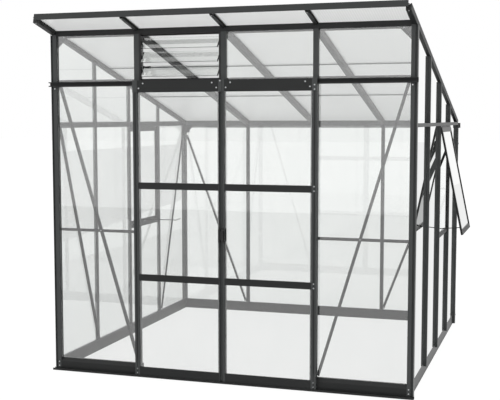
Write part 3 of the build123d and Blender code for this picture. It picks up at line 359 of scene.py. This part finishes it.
class GlasshouseFinishes(bpy.types.PropertyGroup):
    """Colours and surface values of the finishes."""

    rail_dark: bpy.props.StringProperty(
        name="Rails, dark", default="#2A2B2B",
        description="Darker tone of the coat on rails and braces")
    rail_light: bpy.props.StringProperty(
        name="Rails, light", default="#323333",
        description="Lighter tone of the coat on rails and braces")
    # Posts and bars are the same anthracite as the rails. Their lighter tones are painted light, standing
    # in for the brighter shading of their fronts
    lit_bar_dark: bpy.props.StringProperty(
        name="Bars, dark", default="#464848",
        description="Darker tone of the coat on posts and bars")
    lit_bar_light: bpy.props.StringProperty(
        name="Bars, light", default="#515353",
        description="Lighter tone of the coat on posts and bars")
    # The fascia is the same anthracite too. Its lighter tones are painted light for the brighter shading of
    # its face
    lit_fascia_dark: bpy.props.StringProperty(
        name="Fascia, dark", default="#3A3C3C",
        description="Darker tone of the coat on the fascia")
    lit_fascia_light: bpy.props.StringProperty(
        name="Fascia, light", default="#434545",
        description="Lighter tone of the coat on the fascia")
    coat_roughness: bpy.props.FloatProperty(
        name="Coat roughness", default=0.36, min=0.05, max=1.0, subtype="FACTOR",
        description="Mean roughness of the powder coat")
    coat_ior: bpy.props.FloatProperty(
        name="Coat IOR", default=1.3, min=1.0, max=2.0,
        description="Refractive index of the powder coat")
    verge_roughness: bpy.props.FloatProperty(
        name="Verge roughness", default=0.45, min=0.05, max=1.0, subtype="FACTOR",
        description="Mean roughness of the verges' coat")
    verge_ior: bpy.props.FloatProperty(
        name="Verge IOR", default=1.2, min=1.0, max=2.0,
        description="Refractive index of the verges' coat")
    glass_clear: bpy.props.StringProperty(
        name="Glass, clear", default="#F8F9F8",
        description="Lightest tint of a pane")
    glass_cool: bpy.props.StringProperty(
        name="Glass, cool", default="#F3F5F4",
        description="Tint in the quench bands")
    front_ior: bpy.props.FloatProperty(
        name="Front glass IOR", default=2.25, min=1.0, max=3.0,
        description="Refractive index of the panes of the front, the doors and the louvre")
    wall_ior: bpy.props.FloatProperty(
        name="Wall glass IOR", default=1.85, min=1.0, max=3.0,
        description="Refractive index of the panes of the sides, the windows and the back")
    sheet_clear: bpy.props.StringProperty(
        name="Sheet, clear", default="#F9FAF9",
        description="Roof sheet between its webs")
    sheet_web: bpy.props.StringProperty(
        name="Sheet, web", default="#ECEDEC",
        description="Roof sheet at a web")
    web_spacing: bpy.props.FloatProperty(
        name="Web spacing", default=16.0, min=2.0, max=60.0,
        description="Drawn distance of the webs in millimetres")
    zinc_dark: bpy.props.StringProperty(
        name="Zinc, dark", default="#B9BCBE",
        description="Darker tone of the plated steel")
    zinc_light: bpy.props.StringProperty(
        name="Zinc, light", default="#E6E8E9",
        description="Lighter tone of the plated steel")
    nylon_dark: bpy.props.StringProperty(
        name="Nylon, dark", default="#161616",
        description="Darker tone of the moulded plastic")
    nylon_light: bpy.props.StringProperty(
        name="Nylon, light", default="#202020",
        description="Lighter tone of the moulded plastic")
    joiner_dark: bpy.props.StringProperty(
        name="Joiner, dark", default="#6F7272",
        description="Darker tone of the sheet joiners")
    joiner_light: bpy.props.StringProperty(
        name="Joiner, light", default="#7E8181",
        description="Lighter tone of the sheet joiners")


class GlasshouseSizes(bpy.types.PropertyGroup):
    """Sizes and places of the softened edges, the fasteners and the beads."""

    bar_edge: bpy.props.FloatProperty(
        name="Bar edge", default=0.0008, min=0.0, max=0.01, unit="LENGTH",
        description="Rounding on the edges of the bars and plastic fittings")
    bolt_edge: bpy.props.FloatProperty(
        name="Bolt edge", default=0.0015, min=0.0, max=0.004, unit="LENGTH",
        description="Rounding on the bolt heads")
    screw_radius: bpy.props.FloatProperty(
        name="Screw head", default=0.0034, min=0.001, max=0.01, unit="LENGTH",
        description="Radius of the screw heads")
    bolt_head: bpy.props.FloatProperty(
        name="Bolt head", default=0.0075, min=0.002, max=0.015, unit="LENGTH",
        description="Radius of the hexagon heads on the rear posts")
    # The beads' black is painted shade for the stile grooves
    bead_width: bpy.props.FloatProperty(
        name="Bead width", default=0.0044, min=0.001, max=0.006, unit="LENGTH",
        description="Width of the beads in the door stiles")
    bead_foot: bpy.props.FloatProperty(
        name="Bead foot", default=0.12, min=0.1, max=1.0, unit="LENGTH",
        description="Level of the lower ends of the beads")
    bead_gap: bpy.props.FloatProperty(
        name="Bead gap", default=0.06, min=0.0, max=0.5, unit="LENGTH",
        description="How far the beads stop under the top of the door rails")
    rail_levels: bpy.props.FloatVectorProperty(
        name="Rail levels", default=(0.6935, 1.323, 1.9716), unit="LENGTH",
        description="Middles of the door rails with screws")
    screw_pitch: bpy.props.FloatProperty(
        name="Screw pitch", default=0.0285, min=0.01, max=0.06, unit="LENGTH",
        description="Distance between the two screws of a rail")
    brace_start: bpy.props.FloatProperty(
        name="Brace start", default=0.639, min=0.1, max=2.0, unit="LENGTH",
        description="Distance of the brace feet from the middle of the wall")
    brace_reach: bpy.props.FloatProperty(
        name="Brace reach", default=1.211, min=0.1, max=3.0, unit="LENGTH",
        description="Distance of the brace tops from the middle of the wall")
    brace_foot: bpy.props.FloatProperty(
        name="Brace foot", default=0.094, min=0.0, max=1.0, unit="LENGTH",
        description="Level of the lower brace ends")
    brace_tops: bpy.props.FloatVectorProperty(
        name="Brace tops", default=(2.002, 1.617, 1.716), unit="LENGTH",
        description="Levels of the upper brace ends at the front, back and sides")
    brace_inset: bpy.props.FloatProperty(
        name="Brace inset", default=0.012, min=0.0, max=0.1, unit="LENGTH",
        description="Distance of the screws from the brace ends")
    brace_plate: bpy.props.FloatProperty(
        name="Brace plate", default=0.0025, min=0.0005, max=0.01, unit="LENGTH",
        description="Thickness of the braces")
    post_bolts: bpy.props.FloatVectorProperty(
        name="Post bolts", default=(0.075, 1.558), size=2, unit="LENGTH",
        description="Levels of the bolts on the rear posts")


class GlasshouseStudio(bpy.types.PropertyGroup):
    """Reach of the floor, edges of the cards on it, and the brightness of the cards in mirrors."""

    floor_reach: bpy.props.FloatProperty(
        name="Floor reach", default=70.0, min=5.0, max=120.0, unit="LENGTH",
        description="How far the floor runs out from the house")
    card_front: bpy.props.FloatProperty(
        name="Card front", default=12.16, min=1.0, max=40.0, unit="LENGTH",
        description="Distance from the doors to the front edge of the front card")
    card_wall: bpy.props.FloatProperty(
        name="Card wall", default=1.265, min=1.0, max=10.0, unit="LENGTH",
        description="Distance from the middle of the house to its side walls")
    card_near: bpy.props.FloatProperty(
        name="Card near", default=1.3, min=1.0, max=40.0, unit="LENGTH",
        description="Right end of the right-hand card beside the doors")
    card_far: bpy.props.FloatProperty(
        name="Card far", default=11.5, min=2.0, max=60.0, unit="LENGTH",
        description="Right end of the right-hand card at its far edge")
    card_side: bpy.props.FloatProperty(
        name="Card side", default=21.5, min=2.0, max=60.0, unit="LENGTH",
        description="Distance to the right edge of the front and rear cards")
    card_back: bpy.props.FloatProperty(
        name="Card back", default=5.5, min=2.6, max=40.0, unit="LENGTH",
        description="Distance from the doors to the rear card")
    rear_step: bpy.props.FloatProperty(
        name="Rear step", default=0.8, min=0.0, max=10.0, unit="LENGTH",
        description="How far the rear card starts to the right of the right-hand card's near end")
    yard_back: bpy.props.FloatProperty(
        name="Yard back", default=11.0, min=2.6, max=60.0, unit="LENGTH",
        description="Distance from the doors to the far edge of the card close behind the house")
    # Tones that the cards have only in mirrors: painted reflection, which darkens what the panes mirror
    front_tone: bpy.props.FloatProperty(
        name="Front tone", default=0.66, min=0.0, max=1.0, subtype="FACTOR",
        description="Mirrored brightness of the floor in front and inside")
    right_tone: bpy.props.FloatProperty(
        name="Right tone", default=0.9, min=0.0, max=1.0, subtype="FACTOR",
        description="Mirrored brightness of the floor on the right")
    yard_tone: bpy.props.FloatProperty(
        name="Yard tone", default=0.5, min=0.0, max=1.0, subtype="FACTOR",
        description="Mirrored brightness of the floor close behind")
    rear_tone: bpy.props.FloatProperty(
        name="Rear tone", default=0.25, min=0.0, max=1.0, subtype="FACTOR",
        description="Mirrored brightness of the floor behind on the right")


class OBJECT_OT_glasshouse_metal(bpy.types.Operator):
    """Powder coat every bar, rail, post and plate"""

    bl_idname = "object.glasshouse_metal"
    bl_label = "Powder-coated bars"

    def execute(self, context):
        finishes, sizes = context.scene.glasshouse_finishes, context.scene.glasshouse_sizes
        rail = (finishes.rail_dark, finishes.rail_light)
        bar = (finishes.lit_bar_dark, finishes.lit_bar_light)
        fascia = (finishes.lit_fascia_dark, finishes.lit_fascia_light)
        satin = (finishes.coat_roughness, finishes.coat_ior)
        dull = (finishes.verge_roughness, finishes.verge_ior)
        dress(RAIL_NODES, powder_coat("powder_coated_rails", *rail, *satin), sizes.bar_edge)
        # The bars and the fascia are lighter copies of the rails' coat: painted light
        dress(BAR_NODES, powder_coat("powder_coat_bars_painted_light", *bar, *satin), sizes.bar_edge)
        dress(FASCIA_NODES, powder_coat("powder_coat_fascia_painted_light", *fascia, *satin), sizes.bar_edge)
        dress(VERGE_NODES, powder_coat("powder_coated_verges", *rail, *dull), sizes.bar_edge)
        return {"FINISHED"}


class OBJECT_OT_glasshouse_glass(bpy.types.Operator):
    """Glaze the walls, doors, windows and louvre"""

    bl_idname = "object.glasshouse_glass"
    bl_label = "Glass panes"

    def execute(self, context):
        finishes = context.scene.glasshouse_finishes
        dress(FRONT_GLASS, float_glass("front_float_glass", finishes, finishes.front_ior), 0.0)
        dress(WALL_GLASS, float_glass("wall_float_glass", finishes, finishes.wall_ior), 0.0)
        return {"FINISHED"}


class OBJECT_OT_glasshouse_roof(bpy.types.Operator):
    """Give the roof its fluted sheets and their joiner strips"""

    bl_idname = "object.glasshouse_roof"
    bl_label = "Roof sheets"

    def execute(self, context):
        finishes = context.scene.glasshouse_finishes
        dress(SHEET_NODES, twin_wall_sheet(finishes), 0.0)
        dress(JOINER_NODES, grey_joiner(finishes), 0.0)
        return {"FINISHED"}


class OBJECT_OT_glasshouse_fittings(bpy.types.Operator):
    """Finish the bolts, rods, wheels, caps, clips and handles"""

    bl_idname = "object.glasshouse_fittings"
    bl_label = "Bolts and plastic fittings"

    def execute(self, context):
        finishes, sizes = context.scene.glasshouse_finishes, context.scene.glasshouse_sizes
        dress(BOLT_NODES, zinc_plate(finishes), sizes.bolt_edge)
        dress(PLASTIC_NODES, black_nylon(finishes), sizes.bar_edge)
        return {"FINISHED"}


class OBJECT_OT_glasshouse_fasteners(bpy.types.Operator):
    """Put screws into the right door's rails and the braces, and bolts into the rear posts"""

    bl_idname = "object.glasshouse_fasteners"
    bl_label = "Screws and bolts"

    def execute(self, context):
        sizes = context.scene.glasshouse_sizes
        zinc = bpy.data.materials["zinc_plated_steel"]
        screw, bolt = sizes.screw_radius, sizes.bolt_head
        fasteners("door_rail_screws", pan_screw, self.door_places(sizes), screw, "right_door", zinc)
        fasteners("brace_screws", pan_screw, self.brace_places(sizes), screw, "frame", zinc)
        fasteners("rear_post_bolts", hex_bolt, self.post_places(sizes), bolt, "frame", zinc)
        return {"FINISHED"}

    def door_places(self, sizes):
        """Pairs of screws down the outer stile of the right door, one pair at each rail."""
        stiles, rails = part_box("right_door_stiles"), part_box("right_door_rails")
        middle = (rails[1][0] + stiles[1][0]) / 2
        levels = [level + step * sizes.screw_pitch / 2 for level in sizes.rail_levels for step in (-1, 1)]
        return [((middle, stiles[0][1], level), (0.0, -1.0, 0.0)) for level in levels]

    def brace_places(self, sizes):
        """Both ends of the two braces of each wall, on the inner face of the brace."""
        low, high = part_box("wall_braces")
        plate = sizes.brace_plate
        across, along = (low[0] + high[0]) / 2, (low[1] + high[1]) / 2
        front_top, rear_top, side_top = sizes.brace_tops
        walls = ((front_top, (0.0, 1.0, 0.0), lambda step: (across + step, low[1] + plate)),
                 (rear_top, (0.0, -1.0, 0.0), lambda step: (across + step, high[1] - plate)),
                 (side_top, (1.0, 0.0, 0.0), lambda step: (low[0] + plate, along + step)),
                 (side_top, (-1.0, 0.0, 0.0), lambda step: (high[0] - plate, along + step)))
        run = sizes.brace_reach - sizes.brace_start
        places = []
        for top, out, plan in walls:
            rise = top - sizes.brace_foot
            share = sizes.brace_inset / math.hypot(run, rise)
            for side in (-1, 1):
                for part in (share, 1.0 - share):
                    spot = plan(side * (sizes.brace_start + part * run))
                    places.append(((*spot, sizes.brace_foot + part * rise), out))
        return places

    def post_places(self, sizes):
        """Bolts on the outer sides of the rear posts, halfway across."""
        low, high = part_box("corner_posts")
        # The posts are square, and the eave rail runs between them
        back = high[1] - (high[0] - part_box("eave_rail")[1][0]) / 2
        ends = ((low[0], (-1.0, 0.0, 0.0)), (high[0], (1.0, 0.0, 0.0)))
        return [((edge, back, level), out) for edge, out in ends for level in sizes.post_bolts]


class OBJECT_OT_glasshouse_beads(bpy.types.Operator):
    """Press black beads into the grooves of the outer door stiles, as painted shade for the grooves' shadow
    """

    bl_idname = "object.glasshouse_beads"
    bl_label = "Stile beads"

    def execute(self, context):
        sizes = context.scene.glasshouse_sizes
        nylon = bpy.data.materials["moulded_black_nylon"]
        for door, end in (("left", 0), ("right", 1)):
            stiles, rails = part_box(f"{door}_door_stiles"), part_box(f"{door}_door_rails")
            middle = (rails[end][0] + stiles[end][0]) / 2
            top = rails[1][2] - sizes.bead_gap
            # The bead's dark nylon is painted shade, standing in for the groove's shadow
            bead = groove_shade_bead(middle, stiles[0][1], sizes.bead_foot, top, sizes.bead_width)
            fitting(f"{door}_stile_shade_bead", bead, f"{door}_door", nylon)
        return {"FINISHED"}


class OBJECT_OT_glasshouse_stage(bpy.types.Operator):
    """Set up the white room, the floor and the camera"""

    bl_idname = "object.glasshouse_stage"
    bl_label = "Studio"

    def execute(self, context):
        context.scene.view_settings.view_transform = "Standard"
        self.white_room(context)
        for index, (name, corners, tone) in enumerate(self.cards(context.scene.glasshouse_studio)):
            self.lay_card(name, corners, FLOOR_LEVEL + CARD_STEP * index, tone)
        self.camera(context)
        return {"FINISHED"}

    def white_room(self, context):
        """An even white world."""
        world = bpy.data.worlds.new("white_room")
        world.use_nodes = True
        world.node_tree.nodes.clear()
        tree = world.node_tree
        light = add_node(tree, "ShaderNodeBackground", Color=linear(WHITE), Strength=1.0)
        add_node(tree, "ShaderNodeOutputWorld", Surface=light.outputs[0])
        context.scene.world = world

    def cards(self, studio):
        """Names, corners and mirrored tones of the floor and of the cards on it, from the lowest up. The
        cards are white to the eye and grey only in mirrors: painted reflection that darkens what the panes
        mirror.
        """
        reach, front = studio.floor_reach, -studio.card_front
        back, yard = studio.card_back, studio.yard_back
        side, near, far = studio.card_side, studio.card_near, studio.card_far
        # The house is as deep as it is wide
        wall, rear = studio.card_wall, 2 * studio.card_wall
        start = near + studio.rear_step
        return (
            ("studio_floor", ((-reach, -reach), (reach, -reach), (reach, reach), (-reach, reach)), 1.0),
            ("front_card", ((-reach, front), (side, front), (side, 0.0), (-reach, 0.0)), studio.front_tone),
            ("right_card", ((wall, 0.0), (near, 0.0), (far, reach), (wall, reach)), studio.right_tone),
            ("house_card", ((-wall, 0.0), (wall, 0.0), (wall, rear), (-wall, rear)), studio.front_tone),
            ("yard_card", ((-wall, rear), (wall, rear), (wall, yard), (-wall, yard)), studio.yard_tone),
            ("rear_card", ((start, back), (side, back), (side, reach), (far, reach)), studio.rear_tone),
        )

    def lay_card(self, name, corners, level, mirrored):
        """A flat four-cornered sheet on the ground, with the tone that it has in a mirror."""
        mesh = bpy.data.meshes.new(name)
        mesh.from_pydata([(x, y, level) for x, y in corners], [], [(0, 1, 2, 3)])
        mesh.materials.append(self.floor_material(mirrored))
        piece = bpy.data.objects.new(name, mesh)
        bpy.context.scene.collection.objects.link(piece)
        return piece

    def floor_material(self, mirrored):
        """Pale floor, white with faint shadows to the eye and through panes, and toned in mirrors."""
        material, tree = new_material("pale_floor")
        path = add_node(tree, "ShaderNodeLightPath")
        mirror = add_node(tree, "ShaderNodeMath", {"operation": "GREATER_THAN"},
                          _0=path.outputs["Glossy Depth"], _1=MIRROR_DEPTH)
        seen = add_node(tree, "ShaderNodeMath", {"operation": "MAXIMUM"}, _0=path.outputs["Is Camera Ray"],
                        _1=path.outputs["Is Transmission Ray"])
        direct = add_node(tree, "ShaderNodeMix", {"data_type": "FLOAT"}, Factor=seen.outputs[0],
                          _2=0.0, _3=FLOOR_GLOW)
        glow = add_node(tree, "ShaderNodeMix", {"data_type": "FLOAT"}, Factor=mirror.outputs[0],
                        _2=direct.outputs[0], _3=mirrored)
        lamp = add_node(tree, "ShaderNodeEmission", Color=linear(WHITE), Strength=glow.outputs[0])
        pale = add_node(tree, "ShaderNodeMix", {"data_type": "FLOAT"}, Factor=seen.outputs[0],
                        _2=FLOOR_BOUNCE, _3=FLOOR_PAINT)
        matt = add_node(tree, "ShaderNodeMix", {"data_type": "FLOAT"}, Factor=mirror.outputs[0],
                        _2=pale.outputs[0], _3=0.0)
        paint = add_node(tree, "ShaderNodeBsdfDiffuse", Color=matt.outputs[0])
        both = add_node(tree, "ShaderNodeAddShader", _0=lamp.outputs[0], _1=paint.outputs[0])
        add_node(tree, "ShaderNodeOutputMaterial", Surface=both.outputs[0])
        return material

    def camera(self, context):
        """Camera at the photograph's place."""
        lens = bpy.data.cameras.new("camera")
        lens.sensor_fit = "HORIZONTAL"
        lens.sensor_width = FILM_WIDTH
        lens.lens = FOCAL_LENGTH
        lens.shift_x, lens.shift_y = FILM_SHIFT
        lens.clip_end = VIEW_DEPTH
        eye = bpy.data.objects.new("camera", lens)
        eye.location = CAMERA_PLACE
        eye.rotation_euler = CAMERA_TURN
        context.scene.collection.objects.link(eye)
        context.scene.camera = eye


class VIEW3D_PT_glasshouse(bpy.types.Panel):
    """Lists the steps and their settings"""

    bl_label = "Glasshouse"
    bl_idname = "VIEW3D_PT_glasshouse"
    bl_space_type = "VIEW_3D"
    bl_region_type = "UI"
    bl_category = "Glasshouse"

    def draw(self, context):
        scene = context.scene
        for operator in STEPS:
            self.layout.operator(operator.bl_idname)
        for group in (scene.glasshouse_finishes, scene.glasshouse_sizes, scene.glasshouse_studio):
            box = self.layout.box()
            for name in group.bl_rna.properties.keys():
                if name not in ("rna_type", "name"):
                    box.prop(group, name)


STEPS = (OBJECT_OT_glasshouse_metal, OBJECT_OT_glasshouse_glass, OBJECT_OT_glasshouse_roof,
         OBJECT_OT_glasshouse_fittings, OBJECT_OT_glasshouse_fasteners, OBJECT_OT_glasshouse_beads,
         OBJECT_OT_glasshouse_stage)
CLASSES = (GlasshouseFinishes, GlasshouseSizes, GlasshouseStudio) + STEPS + (VIEW3D_PT_glasshouse,)


def register():
    for kind in CLASSES:
        bpy.utils.register_class(kind)
    bpy.types.Scene.glasshouse_finishes = bpy.props.PointerProperty(type=GlasshouseFinishes)
    bpy.types.Scene.glasshouse_sizes = bpy.props.PointerProperty(type=GlasshouseSizes)
    bpy.types.Scene.glasshouse_studio = bpy.props.PointerProperty(type=GlasshouseStudio)


def unregister():
    del bpy.types.Scene.glasshouse_studio
    del bpy.types.Scene.glasshouse_sizes
    del bpy.types.Scene.glasshouse_finishes
    for kind in reversed(CLASSES):
        bpy.utils.unregister_class(kind)


def main():
    """Run every step in order."""
    register()
    bpy.ops.object.glasshouse_metal()
    bpy.ops.object.glasshouse_glass()
    bpy.ops.object.glasshouse_roof()
    bpy.ops.object.glasshouse_fittings()
    bpy.ops.object.glasshouse_fasteners()
    bpy.ops.object.glasshouse_beads()
    bpy.ops.object.glasshouse_stage()


if __name__ == "__main__":
    main()
